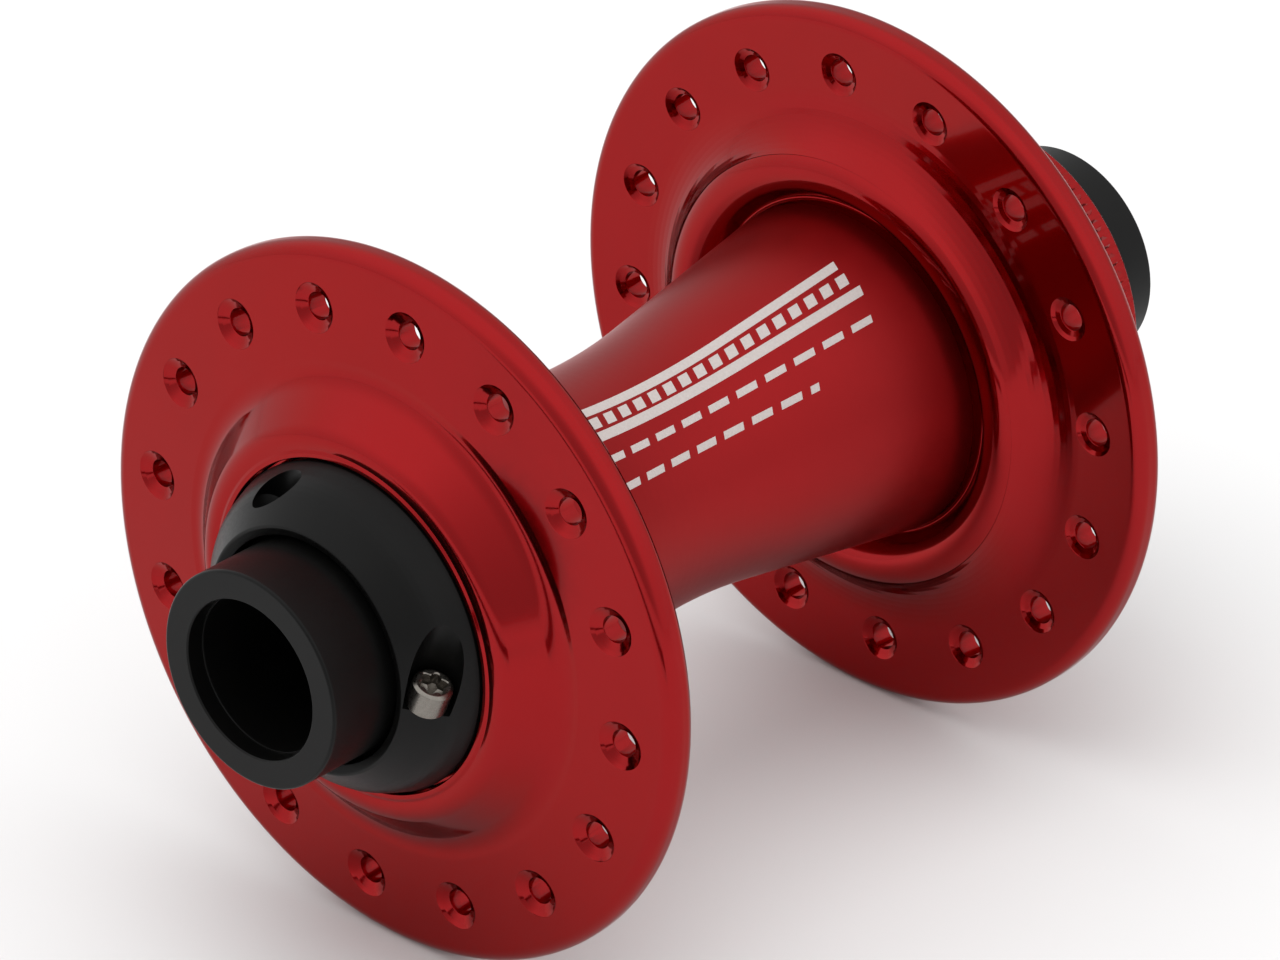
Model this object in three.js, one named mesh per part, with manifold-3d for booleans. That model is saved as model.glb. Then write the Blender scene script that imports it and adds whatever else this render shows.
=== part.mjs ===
// Front bicycle hub for a 15 mm thru axle, with a splined disc-rotor boss. Millimetres, +Z up.
// +Y runs along the axle to the rotor (left) side; the origin is midway between the two axle end faces.
import * as THREE from 'three';
import { mergeVertices } from 'three/addons/utils/BufferGeometryUtils.js';
import Module from 'manifold-3d';

const wasm = await Module();
wasm.setup();

// ---- overall and axle ----
const OVER_LOCKNUT = 110;             // distance between the two end faces
const END_Y = OVER_LOCKNUT / 2;
const END_R = 10.5;                   // the 21 mm ends that sit in the fork
const END_CHAMFER = 0.35;
const BORE_R = 7.52;                  // clears a 15 mm thru axle
const MOUTH_R = 7.7;                  // short counterbore at each end
const MOUTH_DEPTH = 1.8;
const THREAD_R = 10.9;                // crest of the collar's thread, drawn plain
const SEAT_R = 10.97;                 // ground seats for the inner races
const RELIEF_R = 9.9;                 // waisted middle of the axle
const SHOULDER_R = 12.4;              // fixed stop for the left inner race
const SHOULDER_WIDTH = 1.6;
const SHOULDER_CHAMFER = 0.3;
const THREAD_START_Y = -46;           // where the right end steps up to the collar's thread
const THREAD_CHAMFER = 0.4;
const SEAT_SPILL = 0.5;               // how far each ground seat runs past its race
const RELIEF_TAPER = 1;               // length of the slope from a seat down to the waist

// ---- bearings, one size on both sides ----
const RACE_WIDTH = 7;
const INNER_RACE_R = [11.05, 12.4];
const OUTER_RACE_R = [14.1, 15.45];
const PITCH_R = 13.25;
const BALL_R = 1.15;
const GROOVE_R = 1.25;
const BALLS_PER_BEARING = 16;
const SEAL_SEAT_R = 14.85;            // recess in the outer race that holds seal and shield
const SEAL_SEAT_DEPTH = 1.15;
const SEAL_R = 12.6;                  // inner edge of the rubber seal, on the sealed side
const SEAL_FACE = [-3, -2.4];         // its two faces, from the middle of the bearing
const SHIELD_R = 12.7;                // inner edge of the steel shield, on the hub's inside
const SHIELD_FACE = [2.4, 2.8];
const SNAP_RING_R = 14.2;
const SNAP_RING_THICKNESS = 0.35;
const SNAP_RING_Y = -3.4;
const SNAP_RING_HALF_GAP = 0.22;      // radians
const CAGE_R = [12.75, 13.75];
const CAGE_HALF_WIDTH = 1.75;
const CAGE_PLAY = 0.12;
const RIGHT_BEARING_Y = -36.7;
const LEFT_BEARING_Y = 38.1;

// ---- hub shell ----
const FLANGE_R = 34.65;
const FLANGE_THICKNESS = 3.15;
const RIGHT_FACE_Y = -37.6;           // outer face of the right flange at the spoke circle
const LEFT_FACE_Y = 25.76;            // inner face of the left flange at the spoke circle
const RIGHT_CANT = 0.08;              // how far each face leans to the middle, per mm of radius
const LEFT_CANT = 0.04;
const SPOKE_CIRCLE_R = 28.8;
const SPOKES_PER_FLANGE = 16;
const SPOKE_HOLE_R = 1.3;
const OUTER_SINK_R = 2.15;            // countersink mouths
const INNER_SINK_R = 1.93;
const RIGHT_SPOKE_PHASE = 17;         // degrees from +X towards +Z
const LEFT_SPOKE_PHASE = RIGHT_SPOKE_PHASE + 180 / SPOKES_PER_FLANGE;
const LIP_R = 16.15;                  // mouth of the shell round the collar
const LIP_Y = -42;
const LIP_DEPTH = 1.6;
const BELL_ROOT_HEIGHT = 1.21;        // floor of the trough between barrel and bell, from the flange's face
const BELL_ROOT_ROUND = 0.9;
const BELL_R = 19.7;                  // crest of each bell, before rounding
const BELL_HEIGHT = 4.86;
const BELL_ROUND = 1.4;
const BELL_FOOT_R = 23.2;             // where each bell meets its flange, before rounding
const BELL_FOOT_ROUND = 6.2;
const LEFT_HOLLOW_Y = 25.5;            // where the barrel's bore opens out inside the bells
const RIGHT_HOLLOW_Y = -32;
const MOUTH_BELL_R = 18.3;           // outer edge of the shell's mouth, before rounding
const MOUTH_BELL_Y = -42.1;
const MOUTH_BELL_ROUND = 2.2;
const MOUTH_FOOT_R = 22.3;
const MOUTH_FOOT_ROUND = 2.8;
const MOUTH_CREASE_R = 24;          // a flat ring round the foot of the bell ends here
const OUTER_EDGE_ROUND = 1.3;         // right flange's outer corner
const EDGE_ROUND = 1.2;               // the other flange corners
const NECK_FOOT_R = 22.8;             // between the left flange and the rotor boss
const NECK_R = 19.3;
const NECK_Y = 34;
const NECK_ROUND = 3.4;
const BARREL_WAIST_R = 11.56;         // where the two tapers would meet, before rounding
const BARREL_WAIST_Y = -6.9;
const BARREL_TAPER = 0.157;
const BARREL_ROUND = 61;
const BEARING_BORE_R = 15.55;
const BARREL_BORE_R = 11.25;
const BELL_BORE_R = 14.3;             // hollow inside each bell
const RIGHT_HOLLOW_R = 13.9;
const ROTOR_SEAT_Y = 40;
const ROTOR_SEAT_R = 18.9;
const SPLINE_R = 17.4;
const SPLINE_ROOT_R = 16.85;
const SPLINE_TEETH = 60;
const SPLINE_END_Y = 45;
const BOSS_END_Y = 46.15;
const BOSS_END_R = 16.4;
const LOCKRING_R = 15.7;              // thread for the rotor lockring, drawn plain
const LOCKRING_DEPTH = 4.2;

// ---- adjusting collar and its pinch screw ----
const COLLAR_LIP_Y = -47.6;
const COLLAR_TIP = [11.9, -48.0];
const COLLAR_CROWN = [14.9, -44.9];
const COLLAR_RIM_R = 15.9;
const COLLAR_BACK_Y = -41.1;
const COLLAR_NOSE_R = 12.35;
const COLLAR_NOSE_Y = -40.45;
const COLLAR_BORE_R = 11.0;
const ORING_R = 11.55;
const ORING_SECTION_R = 0.48;
const ORING_Y = -41.75;
const SCREW_ANGLE = 68.2;             // direction of the screw and of the key hole, from +X to +Z
const SCREW_OFFSET = 12.25;           // distance of the screw's axis from the hub's axis
const SCREW_Y = -45.6;
const SCREW_SEAT = 3.35;              // where the head rests, measured along the screw
const SCREW_HEAD_R = 1.9;
const SCREW_HEAD_HEIGHT = 2.75;
const SCREW_SHANK_R = 0.92;
const SCREW_HOLE_R = 1.0;
const SCREW_TIP = -2.4;
const SOCKET_R = 0.85;
const SOCKET_DEPTH = 1.2;
const POCKET_R = 2.4;
const KEY_HOLE_R = 1.65;
const KEY_HOLE_OFFSET = -10.58;
const KEY_HOLE_Y = -44.85;
const KEY_HOLE_FLOOR = 7.3;
const SLIT_WIDTH = 0.6;               // clamp slit, opening into the collar's thread
const SLIT_DEPTH = 2.4;
const SLIT_LENGTH = 3.6;
const PAST = 20;                      // a cutter's end, well outside the hub

const SEGMENTS = 36;                  // round the hub's axis
const CLOSE = 0.05;                   // clearance between fitted pieces

const red = { color: 0x9b262a, metalness: 0.9, roughness: 0.22 };
const black = { color: 0x2e2e2f, metalness: 0.6, roughness: 0.45 };
const steel = { color: 0xb9b6b0, metalness: 1, roughness: 0.3 };
const rubber = { color: 0x1b1b1c, metalness: 0, roughness: 0.8 };

// ---- outlines and solids ----

// Corners are [radius, y] or [radius, y, fillet, steps]; each fillet becomes an arc of that many steps.
function roundedOutline(corners) {
  const points = [];
  corners.forEach(([x, y, fillet = 0, steps = 2], i) => {
    const here = new THREE.Vector2(x, y);
    if (!fillet) {
      points.push(here);
      return;
    }
    const [px, py] = corners.at(i - 1);
    const [nx, ny] = corners[(i + 1) % corners.length];
    const back = new THREE.Vector2(px - x, py - y).normalize();
    const ahead = new THREE.Vector2(nx - x, ny - y).normalize();
    const half = Math.acos(THREE.MathUtils.clamp(back.dot(ahead), -1, 1)) / 2;
    const middle = back.clone().add(ahead).normalize();
    const centre = here.clone().addScaledVector(middle, fillet / Math.sin(half));
    const start = here.clone().addScaledVector(back, fillet / Math.tan(half));
    const turn = Math.PI - 2 * half;
    const side = Math.sign(back.x * ahead.y - back.y * ahead.x);
    for (let s = 0; s <= steps; s += 1) {
      points.push(start.clone().rotateAround(centre, -side * turn * s / steps));
    }
  });
  return points;
}

// A manifold-3d solid from any closed three.js geometry.
function solidOf(geometry) {
  const bare = geometry.index ? geometry.toNonIndexed() : geometry.clone();
  bare.deleteAttribute('normal');
  bare.deleteAttribute('uv');
  const merged = mergeVertices(bare, 1e-5);
  const index = merged.index.array;
  const triangles = [];
  for (let i = 0; i < index.length; i += 3) {
    const [a, b, c] = [index[i], index[i + 1], index[i + 2]];
    if (a !== b && b !== c && c !== a) triangles.push(a, b, c);
  }
  return new wasm.Manifold(new wasm.Mesh({
    numProp: 3,
    vertProperties: new Float32Array(merged.attributes.position.array),
    triVerts: new Uint32Array(triangles),
  }));
}

function geometryOf(solid) {
  const mesh = solid.getMesh();
  const geometry = new THREE.BufferGeometry();
  geometry.setAttribute('position', new THREE.BufferAttribute(new Float32Array(mesh.vertProperties), 3));
  geometry.setIndex(new THREE.BufferAttribute(new Uint32Array(mesh.triVerts), 1));
  geometry.computeVertexNormals();
  return geometry;
}

// A ring or a solid of revolution about Y, from a closed outline that runs with the material on its left.
function turned(outline, segments) {
  const points = [...outline, outline[0]];
  return solidOf(new THREE.LatheGeometry(points, segments));
}

function ring(innerR, outerR, yLow, yHigh, segments) {
  const outline = [[innerR, yLow], [outerR, yLow], [outerR, yHigh], [innerR, yHigh]];
  return turned(outline.map(([x, y]) => new THREE.Vector2(x, y)), segments);
}

const radians = THREE.MathUtils.degToRad;

// A cylinder between two distances along the screw's direction, at an offset from the hub's axis.
function alongScrew(radius, offset, y, from, to, sides) {
  const geometry = new THREE.CylinderGeometry(radius, radius, to - from, sides);
  geometry.translate(0, (from + to) / 2, 0);
  geometry.rotateX(Math.PI / 2);
  geometry.translate(offset, y, 0);
  geometry.rotateY(-radians(SCREW_ANGLE - 90));
  return geometry;
}

// ---- hub shell ----

function rightFaceY(radius) {
  return RIGHT_FACE_Y + (radius - SPOKE_CIRCLE_R) * RIGHT_CANT;
}

function leftFaceY(radius) {
  return LEFT_FACE_Y - (radius - SPOKE_CIRCLE_R) * LEFT_CANT;
}

function barrelR(y) {
  return BARREL_WAIST_R + Math.abs(y - BARREL_WAIST_Y) * BARREL_TAPER;
}

function shellOutline() {
  const inner = FLANGE_THICKNESS;
  const rightInnerY = RIGHT_FACE_Y + inner;
  const rightRootY = rightInnerY + BELL_ROOT_HEIGHT;
  const leftRootY = LEFT_FACE_Y - BELL_ROOT_HEIGHT;
  const outside = [
    [LIP_R, LIP_Y],
    [MOUTH_BELL_R, MOUTH_BELL_Y, MOUTH_BELL_ROUND],
    [MOUTH_FOOT_R, rightFaceY(MOUTH_CREASE_R), MOUTH_FOOT_ROUND],
    [MOUTH_CREASE_R, rightFaceY(MOUTH_CREASE_R)],
    [FLANGE_R, rightFaceY(FLANGE_R), OUTER_EDGE_ROUND],
    [FLANGE_R, rightFaceY(FLANGE_R) + inner, EDGE_ROUND],
    [BELL_FOOT_R, rightFaceY(BELL_FOOT_R) + inner, BELL_FOOT_ROUND],
    [BELL_R, rightInnerY + BELL_HEIGHT, BELL_ROUND],
    [barrelR(rightRootY), rightRootY, BELL_ROOT_ROUND],
    [BARREL_WAIST_R, BARREL_WAIST_Y, BARREL_ROUND, 3],
    [barrelR(leftRootY), leftRootY, BELL_ROOT_ROUND],
    [BELL_R, LEFT_FACE_Y - BELL_HEIGHT, BELL_ROUND],
    [BELL_FOOT_R, leftFaceY(BELL_FOOT_R), BELL_FOOT_ROUND],
    [FLANGE_R, leftFaceY(FLANGE_R), EDGE_ROUND],
    [FLANGE_R, leftFaceY(FLANGE_R) + inner, EDGE_ROUND],
    [NECK_FOOT_R, leftFaceY(NECK_FOOT_R) + inner, NECK_ROUND],
    [NECK_R, NECK_Y, NECK_ROUND],
    [ROTOR_SEAT_R, SPLINE_END_Y],
    [BOSS_END_R, SPLINE_END_Y],
    [BOSS_END_R, BOSS_END_Y],
  ];
  const bearingEnd = RACE_WIDTH / 2 + CLOSE;
  const inside = [
    [LOCKRING_R, BOSS_END_Y],
    [LOCKRING_R, BOSS_END_Y - LOCKRING_DEPTH],
    [BEARING_BORE_R, BOSS_END_Y - LOCKRING_DEPTH],
    [BEARING_BORE_R, LEFT_BEARING_Y - bearingEnd],
    [BELL_BORE_R, LEFT_BEARING_Y - bearingEnd],
    [BELL_BORE_R, LEFT_HOLLOW_Y],
    [BARREL_BORE_R, 0],
    [BARREL_BORE_R, 2 * BARREL_WAIST_Y],
    [RIGHT_HOLLOW_R, RIGHT_HOLLOW_Y],
    [BELL_BORE_R, RIGHT_BEARING_Y + bearingEnd],
    [BEARING_BORE_R, RIGHT_BEARING_Y + bearingEnd],
    [BEARING_BORE_R, LIP_Y + LIP_DEPTH],
    [LIP_R, LIP_Y + LIP_DEPTH],
  ];
  return roundedOutline([...outside, ...inside]);
}

// One drill shape for a spoke hole with both countersinks, standing on the Y axis.
function spokeDrill(faceLow, faceHigh, sinkLow, sinkHigh) {
  const past = 1;
  const outline = [
    [0, faceLow - past], [sinkLow + past, faceLow - past],
    [SPOKE_HOLE_R, faceLow + sinkLow - SPOKE_HOLE_R],
    [SPOKE_HOLE_R, faceHigh - sinkHigh + SPOKE_HOLE_R],
    [sinkHigh + past, faceHigh + past], [0, faceHigh + past],
  ];
  return new THREE.LatheGeometry(outline.map(([x, y]) => new THREE.Vector2(x, y)), 8);
}

function spokeHoles(phase, faceLow, sinkLow, sinkHigh) {
  const drill = spokeDrill(faceLow, faceLow + FLANGE_THICKNESS, sinkLow, sinkHigh);
  drill.translate(SPOKE_CIRCLE_R, 0, 0);
  const holes = [];
  for (let i = 0; i < SPOKES_PER_FLANGE; i += 1) {
    const turn = radians(phase + i * 360 / SPOKES_PER_FLANGE);
    holes.push(solidOf(drill.clone().rotateY(-turn)));
  }
  return wasm.Manifold.union(holes);
}

// The ring that, taken away from the boss, leaves its fine splines.
function splineCutter() {
  const shape = new THREE.Shape();
  shape.absarc(0, 0, ROTOR_SEAT_R + 1, 0, 2 * Math.PI);
  const teeth = new THREE.Path();
  for (let i = 0; i < 2 * SPLINE_TEETH; i += 1) {
    const radius = i % 2 ? SPLINE_ROOT_R : SPLINE_R;
    const angle = Math.PI * (i + 0.5) / SPLINE_TEETH;
    const place = [radius * Math.cos(angle), radius * Math.sin(angle)];
    if (i === 0) teeth.moveTo(...place);
    else teeth.lineTo(...place);
  }
  teeth.closePath();
  shape.holes.push(teeth);
  const length = BOSS_END_Y - ROTOR_SEAT_Y;
  const cutter = new THREE.ExtrudeGeometry(shape, { depth: length, bevelEnabled: false, curveSegments: 8 });
  cutter.rotateX(-Math.PI / 2);
  cutter.translate(0, ROTOR_SEAT_Y, 0);
  return solidOf(cutter);
}

function hubShell() {
  const right = spokeHoles(RIGHT_SPOKE_PHASE, RIGHT_FACE_Y, OUTER_SINK_R, INNER_SINK_R);
  const left = spokeHoles(LEFT_SPOKE_PHASE, LEFT_FACE_Y, INNER_SINK_R, OUTER_SINK_R);
  return turned(shellOutline(), SEGMENTS).subtract(right).subtract(left).subtract(splineCutter());
}

// ---- axle ----

function axle() {
  const leftSeatEnd = LEFT_BEARING_Y + RACE_WIDTH / 2 + CLOSE;
  const rightSeatStart = ORING_Y - ORING_SECTION_R - CLOSE;
  const seatReach = RACE_WIDTH / 2 + SEAT_SPILL;
  const reliefReach = seatReach + RELIEF_TAPER;
  const outside = [
    [END_R - END_CHAMFER, -END_Y],
    [END_R, -END_Y + END_CHAMFER],
    [END_R, THREAD_START_Y - THREAD_CHAMFER],
    [THREAD_R, THREAD_START_Y],
    [THREAD_R, rightSeatStart],
    [SEAT_R, rightSeatStart],
    [SEAT_R, RIGHT_BEARING_Y + seatReach],
    [RELIEF_R, RIGHT_BEARING_Y + reliefReach],
    [RELIEF_R, LEFT_BEARING_Y - reliefReach],
    [SEAT_R, LEFT_BEARING_Y - seatReach],
    [SEAT_R, leftSeatEnd],
    [SHOULDER_R, leftSeatEnd],
    [SHOULDER_R, leftSeatEnd + SHOULDER_WIDTH],
    [END_R, leftSeatEnd + SHOULDER_WIDTH + SHOULDER_CHAMFER],
    [END_R, END_Y - END_CHAMFER],
    [END_R - END_CHAMFER, END_Y],
  ];
  const inside = [
    [MOUTH_R, END_Y],
    [MOUTH_R, END_Y - MOUTH_DEPTH],
    [BORE_R, END_Y - MOUTH_DEPTH],
    [BORE_R, MOUTH_DEPTH - END_Y],
    [MOUTH_R, MOUTH_DEPTH - END_Y],
    [MOUTH_R, -END_Y],
  ];
  return turned(roundedOutline([...outside, ...inside]), SEGMENTS);
}

// ---- adjusting collar, its O-ring and its pinch screw ----

function adjustingCollar() {
  const grooveHalf = ORING_SECTION_R + CLOSE;
  const grooveR = ORING_R + ORING_SECTION_R + CLOSE;
  const body = turned(roundedOutline([
    [COLLAR_BORE_R, COLLAR_LIP_Y],
    [...COLLAR_TIP, 0.35],
    [...COLLAR_CROWN, 5, 3],
    [COLLAR_RIM_R, LIP_Y],
    [COLLAR_RIM_R - CLOSE, COLLAR_BACK_Y],
    [COLLAR_NOSE_R + 0.3, COLLAR_BACK_Y],
    [COLLAR_NOSE_R, COLLAR_NOSE_Y],
    [COLLAR_BORE_R + CLOSE, COLLAR_NOSE_Y],
    [COLLAR_BORE_R + CLOSE, ORING_Y + grooveHalf],
    [grooveR, ORING_Y + grooveHalf],
    [grooveR, ORING_Y - grooveHalf],
    [COLLAR_BORE_R, ORING_Y - grooveHalf],
  ]), SEGMENTS);
  const pocket = solidOf(alongScrew(POCKET_R, SCREW_OFFSET, SCREW_Y, SCREW_SEAT, PAST, 20));
  const threadHole = solidOf(
    alongScrew(SCREW_HOLE_R, SCREW_OFFSET, SCREW_Y, SCREW_TIP - CLOSE, PAST, 12));
  const keyHole = solidOf(alongScrew(KEY_HOLE_R, KEY_HOLE_OFFSET, KEY_HOLE_Y, KEY_HOLE_FLOOR, PAST, 16));
  const slitBox = new THREE.BoxGeometry(SLIT_DEPTH, SLIT_LENGTH, SLIT_WIDTH);
  slitBox.translate(SCREW_OFFSET - SLIT_WIDTH / 3, SCREW_Y + SLIT_WIDTH, SLIT_WIDTH);
  slitBox.rotateY(-radians(SCREW_ANGLE - 90));
  return body.subtract(pocket).subtract(threadHole).subtract(keyHole).subtract(solidOf(slitBox));
}

function collarORing() {
  const outline = [];
  for (let i = 0; i < 6; i += 1) {
    const angle = (i + 0.5) * Math.PI / 3;
    const x = ORING_R + ORING_SECTION_R * Math.cos(angle);
    outline.push(new THREE.Vector2(x, ORING_Y + ORING_SECTION_R * Math.sin(angle)));
  }
  return turned(outline, SEGMENTS);
}

function pinchScrew() {
  const top = SCREW_SEAT + SCREW_HEAD_HEIGHT;
  const middle = SCREW_SEAT + SCREW_HEAD_HEIGHT / 2;
  const head = solidOf(
    alongScrew(SCREW_HEAD_R, SCREW_OFFSET, SCREW_Y, SCREW_SEAT + CLOSE, top, 16));
  const shank = solidOf(
    alongScrew(SCREW_SHANK_R, SCREW_OFFSET, SCREW_Y, SCREW_TIP, middle, 10));
  const socket = solidOf(
    alongScrew(SOCKET_R, SCREW_OFFSET, SCREW_Y, top - SOCKET_DEPTH, PAST, 6));
  return head.add(shank).subtract(socket);
}

// ---- bearings: each is drawn about y = 0 with its sealed face towards -Y ----

function grooveArc(landR, side) {
  const reach = Math.abs(landR - PITCH_R);
  const widest = Math.acos(reach / GROOVE_R);
  const points = [];
  for (let s = -1; s <= 1; s += 1) {
    const angle = widest * s;
    points.push([PITCH_R + side * GROOVE_R * Math.cos(angle), GROOVE_R * Math.sin(angle)]);
  }
  return points;
}

function race(corners) {
  return turned(corners.map(([x, y]) => new THREE.Vector2(x, y)), SEGMENTS);
}

function innerRace() {
  const [bore, land] = INNER_RACE_R;
  const half = RACE_WIDTH / 2;
  return race([[bore, -half], [land, -half], ...grooveArc(land, -1), [land, half], [bore, half]]);
}

function outerRace() {
  const [land, outer] = OUTER_RACE_R;
  const half = RACE_WIDTH / 2;
  const recess = half - SEAL_SEAT_DEPTH;
  return race([
    [SEAL_SEAT_R, -half], [outer, -half], [outer, half], [SEAL_SEAT_R, half],
    [SEAL_SEAT_R, recess], [land, recess], ...grooveArc(land, 1).reverse(),
    [land, -recess], [SEAL_SEAT_R, -recess],
  ]);
}

function outerSeal() {
  return ring(SEAL_R, SEAL_SEAT_R - CLOSE, ...SEAL_FACE, SEGMENTS);
}

function innerShield() {
  return ring(SHIELD_R, SEAL_SEAT_R - CLOSE, ...SHIELD_FACE, SEGMENTS);
}

function snapRing() {
  const [start, end] = [SNAP_RING_HALF_GAP, 2 * Math.PI - SNAP_RING_HALF_GAP];
  const shape = new THREE.Shape();
  shape.absarc(0, 0, SEAL_SEAT_R - CLOSE, start, end);
  shape.absarc(0, 0, SNAP_RING_R, end, start, true);
  const bend = { depth: SNAP_RING_THICKNESS, bevelEnabled: false, curveSegments: 12 };
  const geometry = new THREE.ExtrudeGeometry(shape, bend);
  geometry.rotateX(-Math.PI / 2);
  geometry.translate(0, SNAP_RING_Y, 0);
  return solidOf(geometry);
}

function ballPlaces() {
  const step = 2 * Math.PI / BALLS_PER_BEARING;
  return Array.from({ length: BALLS_PER_BEARING }, (_, i) => i * step);
}

function ballCage() {
  const pockets = ballPlaces().map((angle) => {
    const drill = new THREE.CylinderGeometry(BALL_R + CAGE_PLAY, BALL_R + CAGE_PLAY, 4 * BALL_R, 6);
    drill.rotateZ(Math.PI / 2);
    drill.translate(PITCH_R, 0, 0);
    return solidOf(drill.rotateY(-angle));
  });
  const band = ring(...CAGE_R, -CAGE_HALF_WIDTH, CAGE_HALF_WIDTH, SEGMENTS);
  return band.subtract(wasm.Manifold.union(pockets));
}

// ---- the assembly ----

const assembly = new THREE.Group();

function addPiece(name, geometry, look, parent = assembly) {
  const mesh = new THREE.Mesh(geometry, new THREE.MeshStandardMaterial(look));
  mesh.name = name;
  parent.add(mesh);
  return mesh;
}

function addBearing(side, y, facing) {
  const bearing = new THREE.Group();
  bearing.position.y = y;
  bearing.rotation.x = facing;
  assembly.add(bearing);
  addPiece(`${side}_inner_race`, geometryOf(innerRace()), steel, bearing);
  addPiece(`${side}_outer_race`, geometryOf(outerRace()), steel, bearing);
  addPiece(`${side}_outer_seal`, geometryOf(outerSeal()), rubber, bearing);
  addPiece(`${side}_snap_ring`, geometryOf(snapRing()), steel, bearing);
  addPiece(`${side}_inner_shield`, geometryOf(innerShield()), steel, bearing);
  addPiece(`${side}_ball_cage`, geometryOf(ballCage()), rubber, bearing);
  ballPlaces().forEach((angle, i) => {
    const ball = addPiece(`${side}_ball_${i + 1}`, new THREE.OctahedronGeometry(BALL_R, 1), steel, bearing);
    ball.position.set(PITCH_R * Math.cos(angle), 0, PITCH_R * Math.sin(angle));
  });
}

addPiece('hub_shell', geometryOf(hubShell()), red);
addPiece('axle', geometryOf(axle()), black);
addPiece('adjusting_collar', geometryOf(adjustingCollar()), black);
addPiece('collar_o_ring', geometryOf(collarORing()), rubber);
addPiece('pinch_screw', geometryOf(pinchScrew()), steel);
addBearing('right', RIGHT_BEARING_Y, 0);
addBearing('left', LEFT_BEARING_Y, Math.PI);

export default assembly;
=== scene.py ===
"""A front bicycle hub in red and black anodised aluminium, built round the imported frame. Run in Blender 4.5.

Sections are drawn in millimetres as corners of (radius, y), y along the axle, and turned about the Y axis.
"""

import math

import bmesh
import bpy
from mathutils import Matrix, Vector


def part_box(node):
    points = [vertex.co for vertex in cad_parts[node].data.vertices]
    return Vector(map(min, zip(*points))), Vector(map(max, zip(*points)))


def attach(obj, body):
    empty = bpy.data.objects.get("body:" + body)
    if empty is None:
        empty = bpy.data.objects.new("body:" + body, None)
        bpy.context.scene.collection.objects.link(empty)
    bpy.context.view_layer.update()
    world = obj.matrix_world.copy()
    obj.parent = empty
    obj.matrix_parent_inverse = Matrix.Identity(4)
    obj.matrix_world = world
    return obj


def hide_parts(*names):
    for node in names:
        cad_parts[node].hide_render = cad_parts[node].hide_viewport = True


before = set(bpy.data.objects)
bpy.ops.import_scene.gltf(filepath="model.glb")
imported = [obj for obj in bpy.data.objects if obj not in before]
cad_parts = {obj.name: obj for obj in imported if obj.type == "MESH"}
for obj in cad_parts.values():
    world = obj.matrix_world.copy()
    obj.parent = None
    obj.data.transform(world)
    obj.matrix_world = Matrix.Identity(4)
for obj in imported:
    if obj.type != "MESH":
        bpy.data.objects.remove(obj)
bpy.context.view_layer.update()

MM = 0.001
SEGMENTS = 288                      # round the hub's axis, for every large turned piece
ARC_STEP = math.radians(6)          # turn of one step in a fillet
ARC_LENGTH = 1.0                    # longest step along a fillet
SUPPORT = 0.1                       # distance from a fillet to the point that keeps the flat beside it flat
SHARP = math.radians(32)            # edges that bend more than this stay crisp


# ---- sizes, in millimetres: from the frame where it has them ----

def size_of(node):
    """Lowest and highest corner of a CAD node, in millimetres."""
    low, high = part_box(node)
    return low / MM, high / MM


shell_low, shell_high = size_of("hub_shell")
axle_high = size_of("axle")[1]
collar_high = size_of("adjusting_collar")[1]
END_Y = axle_high.y
FLANGE_R = shell_high.x
LIP_Y = shell_low.y
BOSS_END_Y = shell_high.y
SHOULDER_R = axle_high.x
COLLAR_RIM_R = collar_high.x
COLLAR_NOSE_Y = collar_high.y

END_R = 10.5
BORE_R = 7.52
MOUTH_R = 7.7
MOUTH_DEPTH = 1.8
THREAD_R = 10.9
THREAD_DEPTH = 0.35
THREAD_PITCH = 1.0
THREAD_START_Y = -46.0
SEAT_R = 10.97
RELIEF_R = 9.9                      # the axle is thinner between the two bearing seats
RELIEF_Y = (-32.7, 34.1)
RELIEF_RAMP = 1.0
SHOULDER_WIDTH = 1.6
CLOSE = 0.05                        # clearance between fitted pieces

RACE_WIDTH = 7
RACE_HALF = RACE_WIDTH / 2
INNER_RACE_R = (11.05, 12.4)
OUTER_RACE_R = (14.1, 15.45)
PITCH_R = 13.25
BALL_R = 1.19
GROOVE_R = 1.25
BALLS_PER_BEARING = 16
SEAL_SEAT_R = 14.85
SEAL_SEAT_DEPTH = 1.15
CAGE_R = (12.75, 13.75)
CAGE_HALF = 1.75
POCKET_CLEARANCE = 0.08
BEARINGS = {"right": (-36.7, 1), "left": (38.1, -1)}    # middle, and the way that its inside looks along Y

FLANGE_THICKNESS = 3.15
SPOKE_CIRCLE_R = 28.8
RIGHT_FACE_Y = -37.6
LEFT_FACE_Y = 25.76
RIGHT_CANT = 0.08
LEFT_CANT = 0.04
SPOKES_PER_FLANGE = 16
SPOKE_HOLE_R = 1.3
OUTER_SINK_R = 2.15
INNER_SINK_R = 1.93
SINK_SLOPE = 0.72                   # depth of a countersink for each millimetre of its width
SPOKE_PHASE = {"right": 17.0, "left": 28.25}
LIP_R = 16.15
LIP_DEPTH = 1.6
RIM_ROUND = 1.2
OUTER_RIM_ROUND = 1.5
BELL_ROOT_HEIGHT = 1.21             # the two inner bells, between the flanges, are alike
BELL_ROOT_ROUND = 0.15
BELL_R = 19.7
BELL_HEIGHT = 5.46
BELL_ROUND = 2.4
BELL_FOOT_R = 23.2
BELL_FOOT_ROUND = 6.2
MOUTH_BELL_R = 18.3                 # the right flange's outer bell
MOUTH_BELL_Y = -42.1
MOUTH_BELL_ROUND = 2.2
MOUTH_FOOT_R = 22.3
MOUTH_FOOT_ROUND = 2.8
MOUTH_CREASE_R = 24                 # a flat ring round that bell ends here
NECK_FOOT_R = 22.8                  # the left flange's outer bell, down to the rotor seat
NECK_Y = 34
NECK_ROUND = 3.4
BARREL_WAIST_R = 11.56
BARREL_WAIST_Y = -6.9
BARREL_TAPER = 0.157
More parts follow.
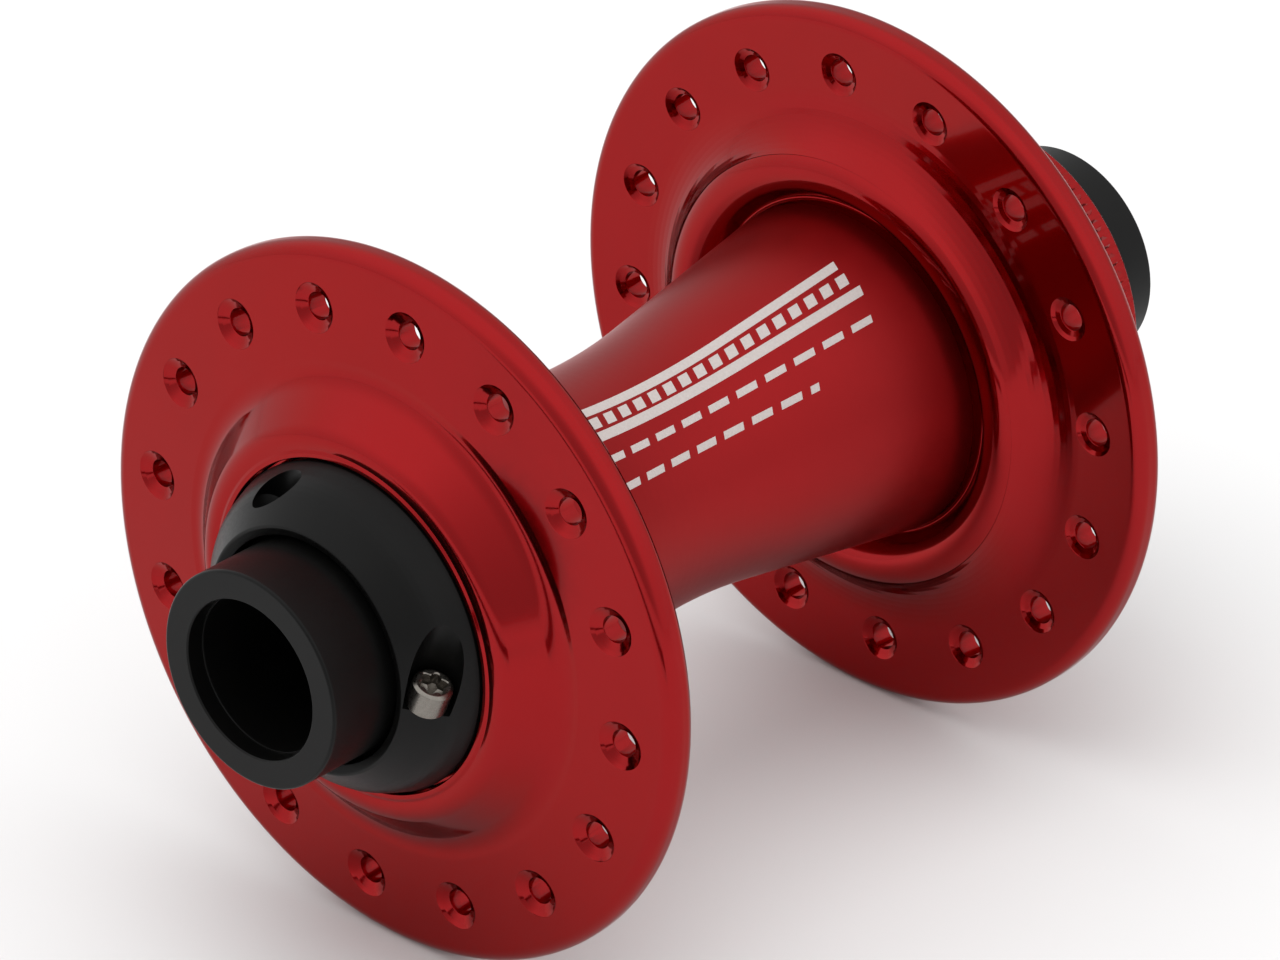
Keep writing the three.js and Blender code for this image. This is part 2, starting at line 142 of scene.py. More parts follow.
BARREL_ROUND = 61
BARREL_BORE_R = 11.25
BARREL_BORE_ROUND = 20
SATIN_Y = (-31.8, 23.2)             # the printed barrel is satin between these, the rest is polished
BEARING_BORE_R = 15.55
BEARING_STOP_Y = (-33.15, 34.55)
BELL_BORE_R = 14.3
HOLLOW_Y = (-32, 25.5)              # the bore narrows from the bells to the barrel from here
RIGHT_HOLLOW_R = 13.9
ROTOR_SEAT_Y = 40
ROTOR_SEAT_R = 18.9
SPLINE_R = 17.4
SPLINE_ROOT_R = 16.85
SPLINE_TEETH = 60
SPLINE_END_Y = 45
BOSS_END_R = 16.4
LOCKRING_R = 15.7
LOCKRING_DEPTH = 4.2
LOCKRING_PITCH = 1.0

COLLAR_LIP_Y = -47.6
COLLAR_TIP = (11.9, -48.0)
COLLAR_DOME = (14.9, -44.9)
COLLAR_DOME_ROUND = 5.5
COLLAR_BACK_Y = -41.1
COLLAR_BORE_R = 11.0
COLLAR_NOSE_R = 12.35
ORING_R = 11.55
ORING_SECTION_R = 0.48
ORING_Y = -41.75
SCREW_ANGLE = 68.2
SCREW_OFFSET = 12.25
SCREW_Y = -45.6
SCREW_SEAT = 3.35
SCREW_HEAD_R = 1.9
SCREW_HEAD_HEIGHT = 2.75
SCREW_SHANK_R = 0.92
SCREW_PITCH = 0.4
SCREW_THREAD_DEPTH = 0.2
SCREW_TIP = -2.4
SCREW_HOLE_R = 1.0
STAR_TIP_R = 1.36
STAR_ROOT_R = 1.02
STAR_DEPTH = 1.3
SLIT_SIZE = Vector((2.0, 3.0, 0.6))
SLIT_MIDDLE = Vector((11.7, SCREW_Y + 0.9, 0.6))
POCKET_R = 2.4
KEY_HOLE_R = 1.65
KEY_HOLE_OFFSET = -10.58
KEY_HOLE_Y = -44.85
KEY_HOLE_FLOOR = 7.3
KEY_HOLE_POINT = 0.7


# ---- sections ----

def filleted(corners, closed):
    """The points of a section; a third number in a corner is its fillet, which becomes an arc."""
    points = []
    for i, (x, y, *fillet) in enumerate(corners):
        here = Vector((x, y))
        at_end = not closed and i in (0, len(corners) - 1)
        if not fillet or at_end:
            points.append(here)
            continue
        back = (Vector(corners[i - 1][:2]) - here).normalized()
        ahead = (Vector(corners[(i + 1) % len(corners)][:2]) - here).normalized()
        half = math.acos(max(-1.0, min(1.0, back.dot(ahead)))) / 2
        centre = here + (back + ahead).normalized() * (fillet[0] / math.sin(half))
        start = here + back * (fillet[0] / math.tan(half)) - centre
        turn = math.copysign(math.pi - 2 * half, ahead.cross(back))
        steps = max(3, round(abs(turn) / ARC_STEP), round(abs(turn) * fillet[0] / ARC_LENGTH))
        points += [centre + Matrix.Rotation(turn * s / steps, 2) @ start for s in range(steps + 1)]
    return points


def section(corners, closed=True):
    """A section with a support point near each end of every long straight, so that flats shade flat."""
    points = filleted(corners, closed)
    following = points[1:] + points[:1] if closed else points[1:]
    made = []
    for here, after in zip(points, following):
        made.append(here)
        step = after - here
        if step.length > 4 * SUPPORT:
            made.append(here + step.normalized() * SUPPORT)
            made.append(after - step.normalized() * SUPPORT)
    return made if closed else [*made, points[-1]]


def rows(radius, y_from, y_to, step):
    """Close-set points along a cylinder's side, for a thread or splines to shape."""
    count = round(abs(y_to - y_from) / step)
    return [(radius, y_from + (y_to - y_from) * i / count) for i in range(count + 1)]


def threaded(crest_r, depth, pitch, y_low, y_high, inside=False):
    """A shape for lathe() that cuts a helical V thread into the cylinder at crest_r."""
    way = 1 if inside else -1

    def shape(r, y, angle):
        if abs(r - crest_r) > 0.01 or not y_low < y < y_high:
            return r
        phase = ((y - y_low) / pitch - angle / (2 * math.pi)) % 1
        fade = min(1, (y - y_low) / pitch, (y_high - y) / pitch)
        return r + way * depth * fade * min(1, 2.2 * min(phase, 1 - phase))
    return shape


# ---- meshes ----

def new_object(name, mesh, material=None):
    made = bpy.data.objects.new(name, mesh)
    bpy.context.scene.collection.objects.link(made)
    if material:
        mesh.materials.append(material)
    return made


def shade(mesh):
    """Smooth shading with crisp edges."""
    mesh.polygons.foreach_set("use_smooth", [True] * len(mesh.polygons))
    mesh.set_sharp_from_angle(angle=SHARP)


def lathe(name, points, material=None, segments=SEGMENTS, shape=None, span=None, place=None):
    """A solid turned about Y from its section, closed where its first point is on the axis.

    shape(r, y, angle) changes a point's radius, and span = (start, end) leaves a gap in the turn.
    """
    build = bmesh.new()
    start, end = span or (0, 2 * math.pi)
    angles = [start + (end - start) * i / segments for i in range(segments + bool(span))]
    columns = []
    for r, y in points:
        if r < 1e-6:
            pole = build.verts.new((0, y * MM, 0))
            columns.append([pole] * len(angles))
            continue
        radii = [shape(r, y, a) if shape else r for a in angles]
        columns.append([build.verts.new((q * MM * math.cos(a), y * MM, q * MM * math.sin(a)))
                        for q, a in zip(radii, angles)])
    on_axis = points[0][0] < 1e-6
    following = columns[1:] if on_axis else columns[1:] + columns[:1]
    for low, high in zip(columns, following):
        for i in range(len(angles) - bool(span)):
            j = (i + 1) % len(angles)
            build.faces.new(list(dict.fromkeys((low[i], low[j], high[j], high[i]))))
    if span:
        build.faces.new([column[0] for column in columns])
        build.faces.new([column[-1] for column in reversed(columns)])
    bmesh.ops.recalc_face_normals(build, faces=build.faces)
    if place:
        build.transform(place)
    mesh = bpy.data.meshes.new(name)
    build.to_mesh(mesh)
    build.free()
    shade(mesh)
    return new_object(name, mesh, material)


def joined(pieces):
    """One object from several that don't touch."""
    build = bmesh.new()
    for piece in pieces:
        build.from_mesh(piece.data)
    mesh = bpy.data.meshes.new(pieces[0].name)
    build.to_mesh(mesh)
    build.free()
    for piece in pieces:
        bpy.data.objects.remove(piece)
    return new_object(mesh.name, mesh)


def cut(piece, tools):
    """Takes the tools' solids away from a piece."""
    tool = joined(tools)
    modifier = piece.modifiers.new("cut", "BOOLEAN")
    modifier.operation = "DIFFERENCE"
    modifier.solver = "MANIFOLD"
    modifier.object = tool
    graph = bpy.context.evaluated_depsgraph_get()
    mesh = bpy.data.meshes.new_from_object(piece.evaluated_get(graph))
    piece.modifiers.clear()
    mesh.name = piece.name
    piece.data = mesh
    shade(mesh)
    bpy.data.objects.remove(tool)


def along_screw(offset, y):
    """Puts a piece turned about Y on the screw's direction, at an offset from the hub's axis."""
    angle = math.radians(SCREW_ANGLE)
    direction = Vector((math.cos(angle), 0, math.sin(angle)))
    sideways = Vector((math.sin(angle), 0, -math.cos(angle)))
    turn = Matrix((sideways, direction, sideways.cross(direction))).transposed().to_4x4()
    return Matrix.Translation((sideways * offset + Vector((0, y, 0))) * MM) @ turn


def finished(piece, body, slot, *nodes):
    """Puts a piece on its body, in place of the CAD nodes it stands for."""
    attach(piece, body)
    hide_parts(*nodes)
    return piece


# ---- materials ----

class Finish:
    """A material with one Principled shader, and short ways to add the nodes that feed it."""

    def __init__(self, name, **values):
        self.material = bpy.data.materials.new(name)
        self.material.use_nodes = True
        self.tree = self.material.node_tree
        self.shader = self.tree.nodes["Principled BSDF"]
        for socket, value in values.items():
            self.shader.inputs[socket.replace("_", " ")].default_value = value
        place = self.node("ShaderNodeTexCoord").outputs["Object"]
        scaled = self.vector_math("SCALE", place)
        scaled.node.inputs["Scale"].default_value = 1 / MM
        self.place = scaled                                     # in millimetres
        split = self.node("ShaderNodeSeparateXYZ", Vector=scaled)
        self.x, self.y, self.z = split.outputs
        squared = self.math("MULTIPLY_ADD", self.x, self.x, self.math("MULTIPLY", self.z, self.z))
        self.radius = self.math("SQRT", squared)

    def node(self, kind, **inputs):
        made = self.tree.nodes.new(kind)
        for name, value in inputs.items():
            self.feed(made.inputs[name.replace("_", " ")], value)
        return made

    def feed(self, socket, value):
        if isinstance(value, bpy.types.NodeSocket):
            self.tree.links.new(value, socket)
        else:
            socket.default_value = value

    def math(self, operation, a, b=0.0, c=0.0):
        made = self.node("ShaderNodeMath")
        made.operation = operation
        for socket, value in zip(made.inputs, (a, b, c)):
            self.feed(socket, value)
        return made.outputs[0]

    def vector_math(self, operation, a):
        made = self.node("ShaderNodeVectorMath")
        made.operation = operation
        self.feed(made.inputs[0], a)
        return made.outputs[0]

    def noise(self, scale, detail=2.0, place=None):
        made = self.node("ShaderNodeTexNoise", Vector=place or self.place, Scale=scale, Detail=detail)
        return made.outputs["Fac"]

    def rings(self):
        """A place that is the same all round the hub's axis, for marks left by turning."""
        return self.node("ShaderNodeCombineXYZ", X=self.radius, Y=self.y).outputs[0]

    def between(self, factor, low, high):
        """Spreads the middle of a noise's range from low to high."""
        made = self.node("ShaderNodeMapRange", Value=factor)
        for name, value in (("From Min", 0.3), ("From Max", 0.7), ("To Min", low), ("To Max", high)):
            made.inputs[name].default_value = value
        return made.outputs[0]

    def blend(self, factor, a, b):
        made = self.node("ShaderNodeMix")
        made.data_type = "RGBA"
        self.feed(made.inputs["Factor"], factor)
        for socket, value in zip([s for s in made.inputs if s.type == "RGBA"], (a, b)):
            self.feed(socket, (*value, 1) if isinstance(value, tuple) and len(value) == 3 else value)
        return next(s for s in made.outputs if s.type == "RGBA")

    def bump(self, height, depth):
        """Raises the surface by height times depth, in millimetres."""
        made = self.node("ShaderNodeBump", Height=height, Distance=depth * MM, Strength=1.0)
        below = [link.from_socket for link in self.shader.inputs["Normal"].links]
        if below:
            self.feed(made.inputs["Normal"], below[0])
        self.feed(self.shader.inputs["Normal"], made.outputs[0])

    def set(self, **values):
        for socket, value in values.items():
            self.feed(self.shader.inputs[socket.replace("_", " ")], value)


def red_anodised():
    """Polished, dyed and sealed aluminium: red metal under a thin clear oxide."""
    finish = Finish("red_anodised", Metallic=1.0, Specular_Tint=(0.5, 0.02, 0.02, 1),
                    Coat_Weight=0.62, Coat_Roughness=0.05, Coat_IOR=1.32)
    cloud = finish.noise(0.12)
    finish.set(Base_Color=finish.blend(cloud, (0.285, 0.002, 0.0035), (0.315, 0.003, 0.005)))
    finish.set(Roughness=finish.between(finish.noise(0.9, 4.0), 0.13, 0.17))
    finish.bump(finish.noise(7.0, 3.0, finish.rings()), 0.0004)
    finish.bump(finish.noise(0.35, 1.0), 0.002)
    return finish


PRINT_SLANT = 0.35
PRINT_ROWS = [                      # middle angle, height, start, end, pitch and share filled of each row
    (73.5, 1.0, -17.5, 17.5, 40.0, 1.0),
    (67.0, 1.2, -17.5, 17.5, 2.0, 0.6),
    (60.5, 1.0, -17.5, 17.5, 40.0, 1.0),
    (50.0, 0.7, -17.5, 17.5, 3.5, 0.7),
    (37.5, 0.7, -17.5, 8.0, 3.5, 0.7),
]


def print_mask(finish):
    """1 on rows of plain slanted bars along the barrel, 0 elsewhere."""
    angle = finish.math("ARCTAN2", finish.z, finish.x)
    total = 0.0
    for middle, height, low, high, pitch, filled in PRINT_ROWS:
        offset = finish.math("SUBTRACT", angle, math.radians(middle))
        up = finish.math("MULTIPLY", offset, finish.radius)
        inside = finish.math("LESS_THAN", finish.math("ABSOLUTE", up), height / 2)
        slanted = finish.math("MULTIPLY_ADD", up, -PRINT_SLANT, finish.y)
        place = finish.math("FRACT", finish.math("DIVIDE", slanted, pitch))
        bar = finish.math("LESS_THAN", place, filled)
        after = finish.math("GREATER_THAN", slanted, low)
        before = finish.math("LESS_THAN", slanted, high)
        row = inside
        for test in (bar, after, before):
            row = finish.math("MULTIPLY", row, test)
        total = finish.math("ADD", total, row)
    return total


def printed_red():
    """The red finish as it is on the barrel: satin, with a plain pale print that is more matt still."""
    finish = red_anodised()
    finish.material.name = "red_anodised_printed"
    finish.set(Coat_Roughness=0.3)
    mask = print_mask(finish)
    pale = finish.blend(finish.noise(4.0, 3.0), (0.5, 0.46, 0.44), (0.62, 0.58, 0.56))
    colour = finish.shader.inputs["Base Color"].links[0].from_socket
    rough = finish.shader.inputs["Roughness"].links[0].from_socket
    finish.set(Base_Color=finish.blend(mask, colour, pale))
    finish.set(Roughness=finish.math("MULTIPLY_ADD", mask, 0.3, finish.math("ADD", rough, 0.2)))
    finish.set(Metallic=finish.math("MULTIPLY_ADD", mask, -0.6, 1.0))
    return finish.material


def drilled_red():
    """The same dye inside the spoke holes, where the drill leaves a duller wall."""
    finish = red_anodised()
    finish.material.name = "red_anodised_drilled"
    finish.set(Roughness=finish.between(finish.noise(5.0, 4.0), 0.3, 0.42))
    finish.bump(finish.noise(6.0, 3.0), 0.01)
    return finish.material


def black_anodised():
    finish = Finish("black_anodised", Metallic=0.0, IOR=1.25)
    cloud = finish.noise(0.3, 3.0)
    finish.set(Base_Color=finish.blend(cloud, (0.002, 0.002, 0.002), (0.0035, 0.0033, 0.0031)))
    finish.set(Roughness=finish.between(finish.noise(3.0, 4.0), 0.3, 0.38))
    finish.bump(finish.noise(9.0, 3.0, finish.rings()), 0.0012)
    finish.bump(finish.noise(12.0, 2.0), 0.0008)
    return finish.material


def stainless():
    finish = Finish("stainless", Metallic=1.0)
    cloud = finish.noise(2.0, 3.0)
    finish.set(Base_Color=finish.blend(cloud, (0.19, 0.175, 0.155), (0.27, 0.25, 0.225)))
    finish.set(Roughness=finish.between(finish.noise(5.0, 4.0), 0.24, 0.38))
    finish.bump(finish.noise(14.0, 3.0), 0.002)
    return finish.material


def bearing_steel():
    finish = Finish("bearing_steel", Metallic=1.0)
    cloud = finish.noise(1.0, 3.0)
    finish.set(Base_Color=finish.blend(cloud, (0.50, 0.49, 0.47), (0.60, 0.59, 0.57)))
    finish.set(Roughness=finish.between(finish.noise(10.0, 2.0, finish.rings()), 0.14, 0.26))
    finish.bump(finish.noise(16.0, 2.0, finish.rings()), 0.0008)
    return finish.material


def rubber():
    finish = Finish("rubber", IOR=1.5)
    cloud = finish.noise(1.5, 4.0)
    finish.set(Base_Color=finish.blend(cloud, (0.012, 0.012, 0.013), (0.022, 0.022, 0.023)))
    finish.set(Roughness=finish.between(finish.noise(4.0, 4.0), 0.55, 0.75))
    finish.bump(finish.noise(9.0, 4.0), 0.004)
    return finish.material


def cage_plastic():
    finish = Finish("cage_plastic", IOR=1.5)
    cloud = finish.noise(1.5, 4.0)
    finish.set(Base_Color=finish.blend(cloud, (0.05, 0.043, 0.03), (0.075, 0.065, 0.048)))
    finish.set(Roughness=finish.between(finish.noise(5.0, 4.0), 0.4, 0.55))
    finish.bump(finish.noise(10.0, 3.0), 0.003)
    return finish.material


RED = red_anodised().material
RED_PRINTED = printed_red()
RED_DRILLED = drilled_red()
BLACK = black_anodised()
STAINLESS = stainless()
STEEL = bearing_steel()
RUBBER = rubber()
PLASTIC = cage_plastic()


# ---- hub shell ----

def right_face(r):
    """Y of the right flange's outer face."""
    return RIGHT_FACE_Y + (r - SPOKE_CIRCLE_R) * RIGHT_CANT


def left_face(r):
    """Y of the left flange's inner face."""
    return LEFT_FACE_Y - (r - SPOKE_CIRCLE_R) * LEFT_CANT


def barrel_r(y):
    """Radius of the barrel's taper, before the waist is rounded."""
    return BARREL_WAIST_R + abs(y - BARREL_WAIST_Y) * BARREL_TAPER


def right_flange():
    """The shell's outside from the collar's end to the root of the right inner bell."""
    thick = FLANGE_THICKNESS
    inner_y = RIGHT_FACE_Y + thick
    root_y = inner_y + BELL_ROOT_HEIGHT
    return [
        (LIP_R, LIP_Y, 0.12), (LIP_R + 0.45, LIP_Y, 0.15), (LIP_R + 0.75, LIP_Y + 0.14, 0.15),
        (MOUTH_BELL_R, MOUTH_BELL_Y, MOUTH_BELL_ROUND),
        (MOUTH_FOOT_R, right_face(MOUTH_CREASE_R), MOUTH_FOOT_ROUND),
        (MOUTH_CREASE_R, right_face(MOUTH_CREASE_R)),
        (FLANGE_R, right_face(FLANGE_R), OUTER_RIM_ROUND),
        (FLANGE_R, right_face(FLANGE_R) + thick, RIM_ROUND),
        (BELL_FOOT_R, right_face(BELL_FOOT_R) + thick, BELL_FOOT_ROUND),
        (BELL_R, inner_y + BELL_HEIGHT, BELL_ROUND), (barrel_r(root_y), root_y, BELL_ROOT_ROUND),
    ]


def left_flange():
    """The shell's outside from the root of the left inner bell to the end of the rotor boss."""
    thick = FLANGE_THICKNESS
    root_y = LEFT_FACE_Y - BELL_ROOT_HEIGHT
    return [
        (barrel_r(root_y), root_y, BELL_ROOT_ROUND), (BELL_R, LEFT_FACE_Y - BELL_HEIGHT, BELL_ROUND),
        (BELL_FOOT_R, left_face(BELL_FOOT_R), BELL_FOOT_ROUND),
        (FLANGE_R, left_face(FLANGE_R), RIM_ROUND), (FLANGE_R, left_face(FLANGE_R) + thick, RIM_ROUND),
        (NECK_FOOT_R, left_face(NECK_FOOT_R) + thick, NECK_ROUND), (ROTOR_SEAT_R + 0.4, NECK_Y, NECK_ROUND),
        (ROTOR_SEAT_R, SPLINE_END_Y, 0.2), (BOSS_END_R, SPLINE_END_Y, 0.1), (BOSS_END_R, BOSS_END_Y, 0.2),
    ]


def shell_bore():
    """The shell's inside, from the lockring's thread back to the collar's end."""
    thread_floor = BOSS_END_Y - LOCKRING_DEPTH
    right_stop, left_stop = BEARING_STOP_Y
    right_hollow, left_hollow = HOLLOW_Y
    return [
        *rows(LOCKRING_R, BOSS_END_Y, thread_floor + 0.2, 0.1),
        (BEARING_BORE_R, thread_floor), (BEARING_BORE_R, left_stop), (BELL_BORE_R, left_stop, 0.3),
        (BELL_BORE_R, left_hollow, 1), (BARREL_BORE_R, 0, BARREL_BORE_ROUND),
        (BARREL_BORE_R, 2 * BARREL_WAIST_Y, BARREL_BORE_ROUND), (RIGHT_HOLLOW_R, right_hollow, 1),
        (BELL_BORE_R, right_stop, 0.3), (BEARING_BORE_R, right_stop),
        (BEARING_BORE_R, LIP_Y + LIP_DEPTH, 0.1), (LIP_R, LIP_Y + LIP_DEPTH, 0.1),
    ]


def shell_section():
    right_end, left_end = SATIN_Y
    barrel = [
        (barrel_r(right_end), right_end), (BARREL_WAIST_R, BARREL_WAIST_Y, BARREL_ROUND),
        (barrel_r(left_end), left_end),
    ]
    return section(right_flange() + barrel + left_flange() + shell_bore())


def spoke_drill(place, sink_low, sink_high):
    """A drill for one spoke hole, both countersinks with it, standing on Y with the lower face at y = 0."""
    past = 1.0
    edge = 0.12                     # rounding of each countersink's rim
    skim = 0.005                    # how far the rounded rim reaches into the flange's face
    high = FLANGE_THICKNESS
    low_rim, high_rim = sink_low + 2 * edge, sink_high + 2 * edge
    corners = [
        (0, -past), (low_rim, -past), (low_rim, skim, edge), (sink_low - edge, 2 * edge, edge),
        (SPOKE_HOLE_R, SINK_SLOPE * (sink_low - SPOKE_HOLE_R), 0.1),
        (SPOKE_HOLE_R, high - SINK_SLOPE * (sink_high - SPOKE_HOLE_R), 0.1),
        (sink_high - edge, high - 2 * edge, edge), (high_rim, high - skim, edge),
        (high_rim, high + past), (0, high + past),
    ]
    return lathe("drill", filleted(corners, False), segments=48, place=place)


def spoke_drills(side, face_y, cant, sink_low, sink_high):
    tools = []
    on_face = Matrix.Translation(Vector((SPOKE_CIRCLE_R, face_y, 0)) * MM) @ Matrix.Rotation(cant, 4, "Z")
    for i in range(SPOKES_PER_FLANGE):
        turn = Matrix.Rotation(-math.radians(SPOKE_PHASE[side] + i * 360 / SPOKES_PER_FLANGE), 4, "Y")
        tools.append(spoke_drill(turn @ on_face, sink_low, sink_high))
    return tools


def spline_ring():
    """The ring of swarf that a broach takes off the boss, round-bottomed between its fine splines."""
    middle = (SPLINE_R + SPLINE_ROOT_R) / 2
    swing = (SPLINE_R - SPLINE_ROOT_R) / 2
    flatness = 1.6                  # how far each tooth's wave is clipped at its tip and root
    outer = ROTOR_SEAT_R + 2
    chamfer_r = middle - 0.5
    past = BOSS_END_Y + 1

    def shape(r, y, angle):
        wave = flatness * math.cos(SPLINE_TEETH * angle)
        return r if r > SPLINE_R + 0.5 else r + swing * max(-1, min(1, wave))
    corners = [(middle, ROTOR_SEAT_Y), (outer, ROTOR_SEAT_Y), (outer, past), (chamfer_r, past),
               (chamfer_r, SPLINE_END_Y - 0.05), (middle, SPLINE_END_Y - 0.45)]
    return lathe("broach", corners, segments=SPLINE_TEETH * 12, shape=shape)


def hub_shell():
    thread_end = BOSS_END_Y - LOCKRING_DEPTH + 0.1
    thread = threaded(LOCKRING_R, THREAD_DEPTH, LOCKRING_PITCH, thread_end, BOSS_END_Y + 0.5, inside=True)
    shell = lathe("shell", shell_section(), RED, shape=thread)
    cut(shell, spoke_drills("right", RIGHT_FACE_Y, RIGHT_CANT, OUTER_SINK_R, INNER_SINK_R))
    cut(shell, spoke_drills("left", LEFT_FACE_Y, -LEFT_CANT, INNER_SINK_R, OUTER_SINK_R))
    cut(shell, [spline_ring()])
    shell.data.materials.clear()
    for material in (RED, RED_DRILLED, RED_PRINTED):
        shell.data.materials.append(material)
    for face in shell.data.polygons:
        point = face.center / MM
        if in_spoke_hole(point):
            face.material_index = 1
        elif on_barrel(point):
            face.material_index = 2
    return finished(shell, "hub", "red_anodised", "hub_shell")


def in_spoke_hole(point):
    """Whether a point in millimetres is on the wall of a spoke hole, past its countersinks."""
    step = 360 / SPOKES_PER_FLANGE
    side = "right" if point.y < 0 else "left"
    angle = math.degrees(math.atan2(point.z, point.x)) - SPOKE_PHASE[side]
    off = math.radians(angle - step * round(angle / step))
    radius = math.hypot(point.x, point.z)
    away = math.hypot(radius * math.cos(off) - SPOKE_CIRCLE_R, radius * math.sin(off))
    return away < SPOKE_HOLE_R + 0.05


def on_barrel(point):
    """Whether a point in millimetres is on the outside of the barrel, between the flanges."""
    out = math.hypot(point.x, point.z) - barrel_r(point.y)
    return SATIN_Y[0] < point.y < SATIN_Y[1] and -0.2 < out < 1.2


# ---- axle ----

def axle_mouth(end):
    """The counterbore at one end of the axle: end is 1 at the left and -1 at the right."""
    floor_y = END_Y - MOUTH_DEPTH
    corners = [
        (MOUTH_R + 0.12, END_Y, 0.06), (MOUTH_R, END_Y - 0.14, 0.1), (MOUTH_R, floor_y),
        (BORE_R + 0.06, floor_y, 0.03), (BORE_R, floor_y - 0.12),
    ]
    return [(r, end * y, *fillet) for r, y, *fillet in corners]


def axle():
    left_seat_end = BEARINGS["left"][0] + RACE_HALF + CLOSE
    thread_end = ORING_Y - ORING_SECTION_R - CLOSE
    shoulder_end = left_seat_end + SHOULDER_WIDTH
    right_relief, left_relief = RELIEF_Y
    corners = [
        (END_R, -END_Y, 0.28), (END_R, THREAD_START_Y - 0.4, 0.1), (THREAD_R, THREAD_START_Y),
        *rows(THREAD_R, THREAD_START_Y + 0.1, thread_end - 0.1, 0.1),
        (THREAD_R, thread_end), (SEAT_R, thread_end), (SEAT_R, right_relief),
        (RELIEF_R, right_relief + RELIEF_RAMP, 2), (RELIEF_R, left_relief - RELIEF_RAMP, 2),
        (SEAT_R, left_relief), (SEAT_R, left_seat_end),
        (SHOULDER_R, left_seat_end, 0.15), (SHOULDER_R, shoulder_end, 0.3), (END_R, shoulder_end + 0.3, 0.4),
        (END_R, END_Y, 0.28), *axle_mouth(1), *reversed(axle_mouth(-1)),
    ]
    thread = threaded(THREAD_R, THREAD_DEPTH, THREAD_PITCH, THREAD_START_Y + 0.05, thread_end)
    tube = lathe("axle_tube", section(corners), BLACK, shape=thread)
    return finished(tube, "axle_set", "black_anodised", "axle")


# ---- adjusting collar, O-ring and pinch screw ----

def bore_tool(radius, offset, y, floor, point=0.0):
    """A drill along the screw's direction; point is the depth of the cone at its tip."""
    past = 25
    corners = [(0, floor - point), (radius, floor, 0.05), (radius, past), (0, past)]
    return lathe("tool", filleted(corners, False), segments=96, place=along_screw(offset, y))


def slit_tool():
    """The clamp slit, sawn across the screw and open to the collar's thread."""
    build = bmesh.new()
    bmesh.ops.create_cube(build, size=1)
    turn = Matrix.Rotation(-math.radians(SCREW_ANGLE - 90), 4, "Y")
    size = Matrix.Diagonal((SLIT_SIZE * MM).to_4d())
    build.transform(turn @ Matrix.Translation(SLIT_MIDDLE * MM) @ size)
    mesh = bpy.data.meshes.new("slit")
    build.to_mesh(mesh)
    build.free()
    return new_object("slit", mesh)


def adjusting_collar():
    groove_half = ORING_SECTION_R + CLOSE
    groove_r = ORING_R + groove_half
    corners = [
        (COLLAR_BORE_R, COLLAR_LIP_Y, 0.08), (*COLLAR_TIP, 0.3), (*COLLAR_DOME, COLLAR_DOME_ROUND),
        (COLLAR_RIM_R, LIP_Y, 0.12),
        (COLLAR_RIM_R - CLOSE, COLLAR_BACK_Y, 0.15), (COLLAR_NOSE_R + 0.3, COLLAR_BACK_Y, 0.1),
        (COLLAR_NOSE_R, COLLAR_NOSE_Y, 0.1), (COLLAR_BORE_R + CLOSE, COLLAR_NOSE_Y, 0.1),
        (COLLAR_BORE_R + CLOSE, ORING_Y + groove_half), (groove_r, ORING_Y + groove_half, 0.15),
        (groove_r, ORING_Y - groove_half, 0.15), (COLLAR_BORE_R, ORING_Y - groove_half),
    ]
    collar = lathe("collar", section(corners), BLACK)
    cut(collar, [bore_tool(POCKET_R, SCREW_OFFSET, SCREW_Y, SCREW_SEAT)])
    cut(collar, [bore_tool(SCREW_HOLE_R, SCREW_OFFSET, SCREW_Y, SCREW_TIP - 0.2)])
    cut(collar, [bore_tool(KEY_HOLE_R, KEY_HOLE_OFFSET, KEY_HOLE_Y, KEY_HOLE_FLOOR, KEY_HOLE_POINT)])
    cut(collar, [slit_tool()])
    return finished(collar, "collar", "black_anodised", "adjusting_collar")


def o_ring():
    points = [Vector((ORING_R + ORING_SECTION_R * math.cos(a), ORING_Y + ORING_SECTION_R * math.sin(a)))
              for a in (math.tau * i / 20 for i in range(20))]
    return finished(lathe("o_ring", points, RUBBER), "collar", "rubber", "collar_o_ring")


def star_tool(top, place):
    """The six-lobed key recess in the screw's head."""
    tip, root = STAR_TIP_R, STAR_ROOT_R

    def star(r, y, angle):
        wave = 0.5 + 0.5 * math.cos(6 * angle)
        return r * (root + (tip - root) * wave ** 0.8) / tip
    socket = [(0, top - STAR_DEPTH - 0.4), (tip, top - STAR_DEPTH), (tip, top - 0.1),
              (tip + 0.14, top + 0.02), (tip + 0.14, top + 1), (0, top + 1)]
    return lathe("star", socket, segments=96, shape=star, place=place)


def pinch_screw():
    top = SCREW_SEAT + SCREW_HEAD_HEIGHT
    corners = [
        (0, SCREW_TIP), (0.6, SCREW_TIP, 0.05), (SCREW_SHANK_R, SCREW_TIP + 0.3),
        *rows(SCREW_SHANK_R, SCREW_TIP + 0.35, SCREW_SEAT - 0.4, 0.05),
        (SCREW_SHANK_R, SCREW_SEAT + CLOSE, 0.1), (SCREW_HEAD_R, SCREW_SEAT + CLOSE, 0.12),
        (SCREW_HEAD_R, top - 0.22, 0.12), (SCREW_HEAD_R - 0.3, top, 0.12), (0, top),
    ]
    thread = threaded(SCREW_SHANK_R, SCREW_THREAD_DEPTH, SCREW_PITCH, SCREW_TIP + 0.3, SCREW_SEAT - 0.35)
    place = along_screw(SCREW_OFFSET, SCREW_Y)
    screw = lathe("screw", section(corners, False), STAINLESS, 96, thread, place=place)
    cut(screw, [star_tool(top, place)])
    return finished(screw, "screw", "stainless", "pinch_screw")


# ---- bearings: drawn about y = 0 with the sealed face towards -Y, then mirrored onto their seats ----

